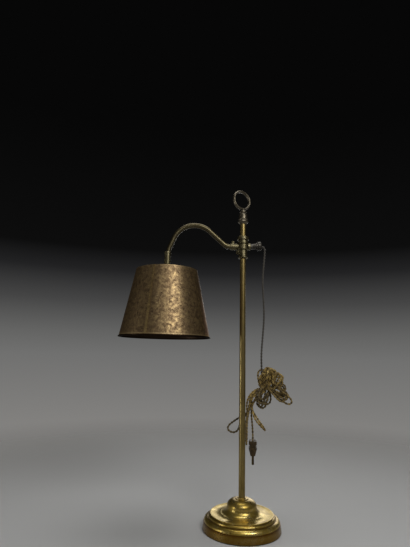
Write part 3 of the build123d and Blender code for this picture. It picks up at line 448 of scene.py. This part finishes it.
# Camera
ahead = np.array([sin(camera_yaw) * cos(camera_pitch), cos(camera_yaw) * cos(camera_pitch), sin(camera_pitch)])
level = np.array([cos(camera_yaw), -sin(camera_yaw), 0.0])
above = np.cross(level, ahead)
right = level * cos(camera_roll) + above * sin(camera_roll)
above = above * cos(camera_roll) - level * sin(camera_roll)
camera_data = bpy.data.cameras.new("camera")
camera_data.sensor_width = sensor_width
camera_data.lens = sensor_width * focal_pixels / image_long_side
camera = bpy.data.objects.new("camera", camera_data)
stand_point = np.vstack([np.column_stack([right, above, -ahead, camera_place]), [0, 0, 0, 1]])
camera.matrix_world = Matrix(stand_point.tolist())
bpy.context.scene.collection.objects.link(camera)
bpy.context.scene.camera = camera
bpy.context.scene.view_settings.view_transform = "Standard"

# Spun brass, polished long ago: golden, with brown tarnish in the grooves, and painted shade low on the wall
base_tarnish_and_shade = [(0.0, "#f0f0f0"), (0.0100, "#dcdcdc"), (0.0156, "#ffffff"), (0.0175, "#606060"), (0.0225, "#505050"),
              (0.0240, "#f0f0f0"), (0.0262, "#303030"), (0.0284, "#d0d0d0"), (0.0296, "#202020"),
              (0.0345, "#303030"), (0.0420, "#909090"), (0.060, "#a0a0a0")]
polished_brass = brass("spun_polished_brass", ["#907730", "#b59b49", "#ccb672"], "#ddd09c", "#5e3d06", 20,
                       (0.22, 0.37), grain_depth=0.2, metallic=0.87, tarnish_and_shade=base_tarnish_and_shade)
# Drawn brass tube, handled: satin golden brown, with streaks along the tube, and paler towards the bottom
stem_paler_low = [(0.02, "#686868"), (0.16, "#585858"), (0.28, "#101010"), (0.66, "#000000")]
stem_brass = brass("drawn_stem_brass", ["#5a4d2e", "#7a6a42", "#908055"], "#b29a52", "#372b18", 12, (0.28, 0.44),
                   drawn=(1, 1, 0.2), wear_and_highlight=stem_paler_low)
# Bent brass tube with a dark olive patina
arm_brass = brass("bent_arm_brass", ["#40392a", "#4e4733", "#5e563f"], "#6b634a", "#342d20", 24, (0.26, 0.38),
                  grain_depth=0.02)
# Turned brass, handled and gone olive grey
aged_brass = brass("turned_aged_brass", ["#3c3627", "#59523b", "#766e54"], "#a09879", "#2b2419", 10, (0.26, 0.44))
# Turned brass of the outlet, painted nearly black as shade
outlet_shade_brass = brass("outlet_brass_painted_shade", ["#25231f", "#393631", "#504d46"], "#77736a", "#191714", 8, (0.28, 0.46))
# Cast brass that has gone grey in the air
dull_brass = brass("cast_dull_brass", ["#423c30", "#5d5648", "#787060"], "#9d9584", "#2c271f", 9, (0.28, 0.46))
# Brass sheet with a bronzed brown patina, finely mottled and pitted, with a painted highlight on the edge over the
# rim, painted shade under the rim and on the inner face, and a rubbed top edge
painted_shade_under_rim = [(0.3600, "#ffffff"), (0.3708, "#ffffff"), (0.3720, "#000000"), (0.5200, "#000000")]
rim_highlight_and_wear = [(0.3690, "#000000"), (0.3712, "#000000"), (0.3722, "#c0c0c0"), (0.3745, "#303030"), (0.3780, "#000000"),
            (0.5080, "#000000"), (0.5112, "#707070")]
bronzed_brass = brass("bronzed_brass_sheet", ["#4a3c2a", "#6b5840", "#8f7a55"], "#bda67b", "#1f160e", 7,
                      (0.31, 0.49), fleck=3.0, pit=2.8, hammer=0.12, metallic=0.85, tarnish_and_shade=painted_shade_under_rim,
                      wear_and_highlight=rim_highlight_and_wear, inside="#2a2118", edge="#8c7f70")
# The same sheet, where the top is let in
plate_brass = brass("bronzed_brass_plate", ["#4a3c2a", "#6b5840", "#8f7a57"], "#bda884", "#1f160e", 9, (0.28, 0.46),
                    metallic=0.85)
# The same sheet on the lapped seam: paler, and paler still towards the bottom
seam_paler_low = [(0.3690, "#787878"), (0.4300, "#606060"), (0.4600, "#202020"), (0.5150, "#000000")]
seam_brass = brass("pale_seam_brass", ["#4f412b", "#7d6844", "#a48d5f"], "#c0a872", "#2c2113", 6, (0.30, 0.46),
                   fleck=2.0, pit=2.2, metallic=0.88, wear_and_highlight=seam_paler_low)
# Pressed brass of a lampholder, kept clean under the shade
holder_brass = brass("pressed_holder_brass", ["#80683a", "#ab9258", "#c4ae78"], "#dccb9c", "#4b3a1c", 10,
                     (0.22, 0.36))
# Turned brass pins, darkened
pin_brass = brass("turned_pin_brass", ["#2a2317", "#453923", "#5f5135"], "#85764f", "#1c160d", 6, (0.30, 0.45),
                  drawn=(1, 1, 0.3))
# Zinc-plated steel of the fixing
steel = plain("zinc_plated_steel", "#7c7d7e", "#a3a4a4", 4, (0.3, 0.45), 0.03, Metallic=1.0)
# Sand-cast iron
cast_iron = plain("sand_cast_iron", "#232220", "#3a3734", 1.5, (0.6, 0.8), 0.25, Metallic=0.6)
# Wool felt: matt, with short fibres
felt = plain("pressed_wool_felt", "#12241a", "#1f3a2a", 0.8, (0.9, 1.0), 0.3, Sheen_Weight=0.4)
# Glazed porcelain
porcelain = plain("glazed_porcelain", "#e4ddcd", "#f0ebe0", 12, (0.12, 0.2), 0.02, Coat_Weight=0.5)
# Moulded phenolic resin: dark olive brown with a faint swirl, dulled by handling
phenolic = plain("moulded_phenolic", "#2b1f0d", "#4a3919", 6, (0.5, 0.66), 0.05, IOR=1.6, Specular_IOR_Level=0.25)
# Drawn tungsten and nickel wire
bulb_wire = plain("drawn_bulb_wire", "#5c5a58", "#7c7a77", 3, (0.3, 0.4), 0.01, Metallic=1.0)
# Blown glass
glass = plain("blown_clear_glass", "#f4f4f0", "#ffffff", 30, (0.0, 0.02), 0.0, Transmission_Weight=1.0, IOR=1.5)

# Braided cotton over rubber: gold thread with dark flecks, crossing at the pitch of the braid
flex, tree, shader, _ = material("braided_cotton_flex")
laid = add(tree, "ShaderNodeTexCoord").outputs["UV"]
threads = []
for turned in (braid_angle, -braid_angle):
    way = add(tree, "ShaderNodeMapping", {"Vector": laid, "Rotation": (0, 0, turned)}).outputs[0]
    threads.append(add(tree, "ShaderNodeTexWave", {"Vector": way, "Scale": repeats(braid_step) / wave_radians,
                                                   "Distortion": 0.6, "Detail": 2.0}).outputs["Fac"])
crossing = add(tree, "ShaderNodeMath", {0: threads[0], 1: threads[1]}, operation="MAXIMUM").outputs[0]
fade = add(tree, "ShaderNodeTexNoise", {"Vector": laid, "Scale": repeats(fade_size), "Detail": 4.0}).outputs["Fac"]
cotton = add(tree, "ShaderNodeValToRGB", {"Fac": fade},
             stops=[(0.3, "#66501f"), (0.5, "#967c38"), (0.7, "#c0a664")])
woven = add(tree, "ShaderNodeMix", {0: crossing, 6: linear("#402f12"), 7: cotton.outputs[0]}, data_type="RGBA")
# Painted shade: the mark read here darkens the cotton towards dark brown, and grey where it is strongest
painted_shade = add(tree, "ShaderNodeAttribute", attribute_name="painted_shade").outputs["Fac"]
shade_tones = add(tree, "ShaderNodeValToRGB", {"Fac": painted_shade}, stops=[(0.75, "#2a2213"), (0.95, "#3b3834")]).outputs[0]
cotton_with_shade = add(tree, "ShaderNodeMix", {0: painted_shade, 6: woven.outputs[2], 7: shade_tones}, data_type="RGBA")
tree.links.new(cotton_with_shade.outputs[2], shader.inputs["Base Color"])
shader.inputs["Roughness"].default_value = 0.82
shader.inputs["Sheen Weight"].default_value = 0.1
relief = add(tree, "ShaderNodeBump", {"Height": crossing, "Strength": 0.6, "Distance": 0.2 * mm}).outputs[0]
tree.links.new(relief, shader.inputs["Normal"])

# The finish of each material slot, and the nodes that have a finish of their own
finishes = {
    "polished_brass": polished_brass, "aged_brass": aged_brass, "dull_brass": dull_brass,
    "bronzed_brass": bronzed_brass, "holder_brass": holder_brass, "steel": steel, "cast_iron": cast_iron,
    "felt": felt, "porcelain": porcelain, "phenolic": phenolic, "pin_brass": pin_brass, "cloth_flex": flex,
    "clear_glass": glass,
}
for entry in frame["record"]["subparts"]:
    for place in nodes[entry["node"]].material_slots:
        place.material = finishes[entry["material_slot"]]
nodes["stem"].material_slots[0].material = stem_brass
nodes["swan_arm"].material_slots[0].material = arm_brass
nodes["outlet_tube"].material_slots[0].material = outlet_shade_brass
nodes["outlet_nozzle"].material_slots[0].material = outlet_shade_brass
nodes["shade_seam"].material_slots[0].material = seam_brass
nodes["shade_top_plate"].material_slots[0].material = plate_brass

# Flex: one cord from the nozzle through the hank and its loops to the plug, and the painted shade of each stretch
control = [np.array(drop_route)]
cord_shading = [drop_shade]
for low, high in zip(lower_loops, upper_loops):
    control.append(loop_points(*low)[outer_points:-inner_points])
    control.append(loop_points(*high)[inner_points:-outer_points])
    low_root, low_tip = low
    cord_shading += [right_lobe_shade if low_tip[0] > low_root[0] else left_lobe_shade, upper_lobe_shade]
for route, share in stretches_after_hank:
    control.append(np.array(route))
    cord_shading.append(share)
cord_shading = np.repeat(cord_shading, [len(route) for route in control])
centre, places = spline_points(np.concatenate(control))
painted_shade = np.interp(places, np.arange(len(cord_shading)), cord_shading)
side_a, side_b = carried_frames(centre)
twist = 2 * pi * np.arange(len(centre)) * ring_spacing / twist_pitch
strands = []
for start in (0, pi):
    swing = twist + start
    middle = centre + strand_offset * (np.cos(swing)[:, None] * side_a + np.sin(swing)[:, None] * side_b)
    strands.append(tube(middle, strand_radius, strand_sides, side_a, side_b))
painted_shade_marks = np.tile(np.repeat(painted_shade, strand_sides), len(strands))
cord_mesh = surface("flex", strands, False, (2 * pi * strand_radius / strand_sides, ring_spacing),
                    {"painted_shade": painted_shade_marks})
cord = piece("twisted_flex", cord_mesh, flex, "arm", "cloth_flex", "cord_drop", "cord_left_loop", "cord_bight",
             "cord_fold", "cord_tail", "cord_hank")

# Bulb's inside: the glass stem, turned about the bulb's axis, and the leads and coiled filament across it
profile = np.array(bulb_stem_profile) * mm
around = 2 * pi * np.arange(bulb_stem_sides) / bulb_stem_sides
glass_stem = np.stack(np.broadcast_arrays(profile[:, :1] * np.cos(around), profile[:, :1] * np.sin(around),
                                          -profile[:, 1:]), -1)
stem_cell = (2 * pi * profile[0, 0] / bulb_stem_sides, np.ptp(profile[:, 1]) / len(profile))
stem_mesh = surface("bulb_glass_stem", [glass_stem + bulb_neck], False, stem_cell)
piece("bulb_glass_stem", stem_mesh, glass, "arm", "clear_glass")
across = np.array([cos(filament_heading), sin(filament_heading), 0.0])
aside = np.array([-sin(filament_heading), cos(filament_heading), 0.0])
upright = np.array([0.0, 0.0, 1.0])
wires = []
for side in (-1, 1):
    lead = spline_points(np.array([side * out * mm * across - drop * mm * upright for out, drop in lead_route]))[0]
    wires.append(tube(lead, lead_radius, wire_sides, *carried_frames(lead)))
run = np.linspace(-1, 1, filament_turn_points * filament_turns)[:, None]
coil = 2 * pi * filament_turns * (run + 1) / 2
hang = -filament_level - filament_sag * (1 - run ** 2)
filament = (run * filament_half_span * across + (hang + filament_coil_radius * np.sin(coil)) * upright
            + filament_coil_radius * np.cos(coil) * aside)
wires.append(tube(filament, filament_wire_radius, wire_sides, *carried_frames(filament)))
wire_mesh = surface("bulb_filament", [wire + bulb_neck for wire in wires], False, (lead_radius, lead_radius))
piece("bulb_filament", wire_mesh, bulb_wire, "arm", "steel")

# Stage: a plain pale floor that ends softly, where the room's own grey takes over
floor_half_side = 6.0
floor_clear, floor_gone = 0.5, 1.6
floor_corners = [(x * floor_half_side, y * floor_half_side, 0.0) for x, y in ((-1, -1), (1, -1), (1, 1), (-1, 1))]
floor_mesh = bpy.data.meshes.new("floor")
floor_mesh.from_pydata(floor_corners, [], [(0, 1, 2, 3)])
paper, tree, shader, place = material("matt_paper")
shader.inputs["Base Color"].default_value = linear("#bfbfbe")
shader.inputs["Roughness"].default_value = 0.9
away = add(tree, "ShaderNodeVectorMath", {0: place}, operation="LENGTH").outputs["Value"]
fading = add(tree, "ShaderNodeMapRange", {0: away, 1: floor_clear, 2: floor_gone, 3: 1.0, 4: 0.0},
             interpolation_type="SMOOTHSTEP").outputs[0]
tree.links.new(fading, shader.inputs["Alpha"])
floor_mesh.materials.append(paper)
floor = bpy.data.objects.new("floor", floor_mesh)
bpy.context.scene.collection.objects.link(floor)


def softbox(name, place, target, width, height, power, spread=180):
    """A rectangular soft light that faces a point, with the angle in degrees that its light fills."""
    lamp = bpy.data.lights.new(name, "AREA")
    lamp.shape = "RECTANGLE"
    lamp.size = width
    lamp.size_y = height
    lamp.energy = power
    lamp.spread = radians(spread)
    made = bpy.data.objects.new(name, lamp)
    made.location = place
    made.rotation_euler = (Vector(target) - Vector(place)).to_track_quat("-Z", "Y").to_euler()
    made.visible_camera = False
    bpy.context.scene.collection.objects.link(made)


# Light: a softbox high on the right of the camera, a weaker one over it, a low one on the left, a top light, a low
# panel behind that the base's plate reflects, and a weak back light
softbox("key", (0.40, -1.17, 1.20), (-0.12, 0.0, 0.42), 0.80, 0.60, 9.5)
softbox("front", (-0.38, -1.25, 1.15), (-0.12, 0.0, 0.42), 0.60, 0.60, 1.3)
softbox("left", (-1.35, -0.35, 0.24), (0.0, 0.0, 0.30), 0.25, 0.48, 0.5, 80)
softbox("top", (-0.05, 0.05, 1.60), (-0.05, 0.0, 0.30), 0.90, 0.70, 6.5)
softbox("panel", (0.58, 1.35, 0.50), (0.0, 0.0, 0.03), 1.40, 0.50, 0.38, 44)
softbox("back", (0.22, 1.40, 0.74), (-0.10, 0.0, 0.42), 0.35, 0.35, 0.55)
# World: a room that is pale at the floor and dark overhead, and lighter on the camera's side than behind the lamp
room_low, room_high = -0.5, 0.5
front_starts, front_full = 0.6, -0.1
world = bpy.data.worlds.new("studio")
world.use_nodes = True
tree = world.node_tree
way = add(tree, "ShaderNodeSeparateXYZ", {0: add(tree, "ShaderNodeTexCoord").outputs["Generated"]}).outputs
share = add(tree, "ShaderNodeMapRange", {0: way["Z"], 1: room_low, 2: room_high}).outputs[0]
greys = add(tree, "ShaderNodeValToRGB", {"Fac": share},
            stops=[(0.0, "#a9a8a5"), (0.25, "#8d8b88"), (0.5, "#70706f"), (0.55, "#636362"), (0.62, "#454545"),
                   (0.69, "#222223"), (0.74, "#0d0d0d"), (1.0, "#070707")]).outputs[0]
front = add(tree, "ShaderNodeMapRange", {0: way["Y"], 1: front_starts, 2: front_full},
            interpolation_type="SMOOTHSTEP").outputs[0]
room = add(tree, "ShaderNodeMix", {0: front, 6: greys, 7: linear("#52504c")}, data_type="RGBA",
           blend_type="LIGHTEN").outputs[2]
tree.links.new(room, tree.nodes["Background"].inputs["Color"])
bpy.context.scene.world = world
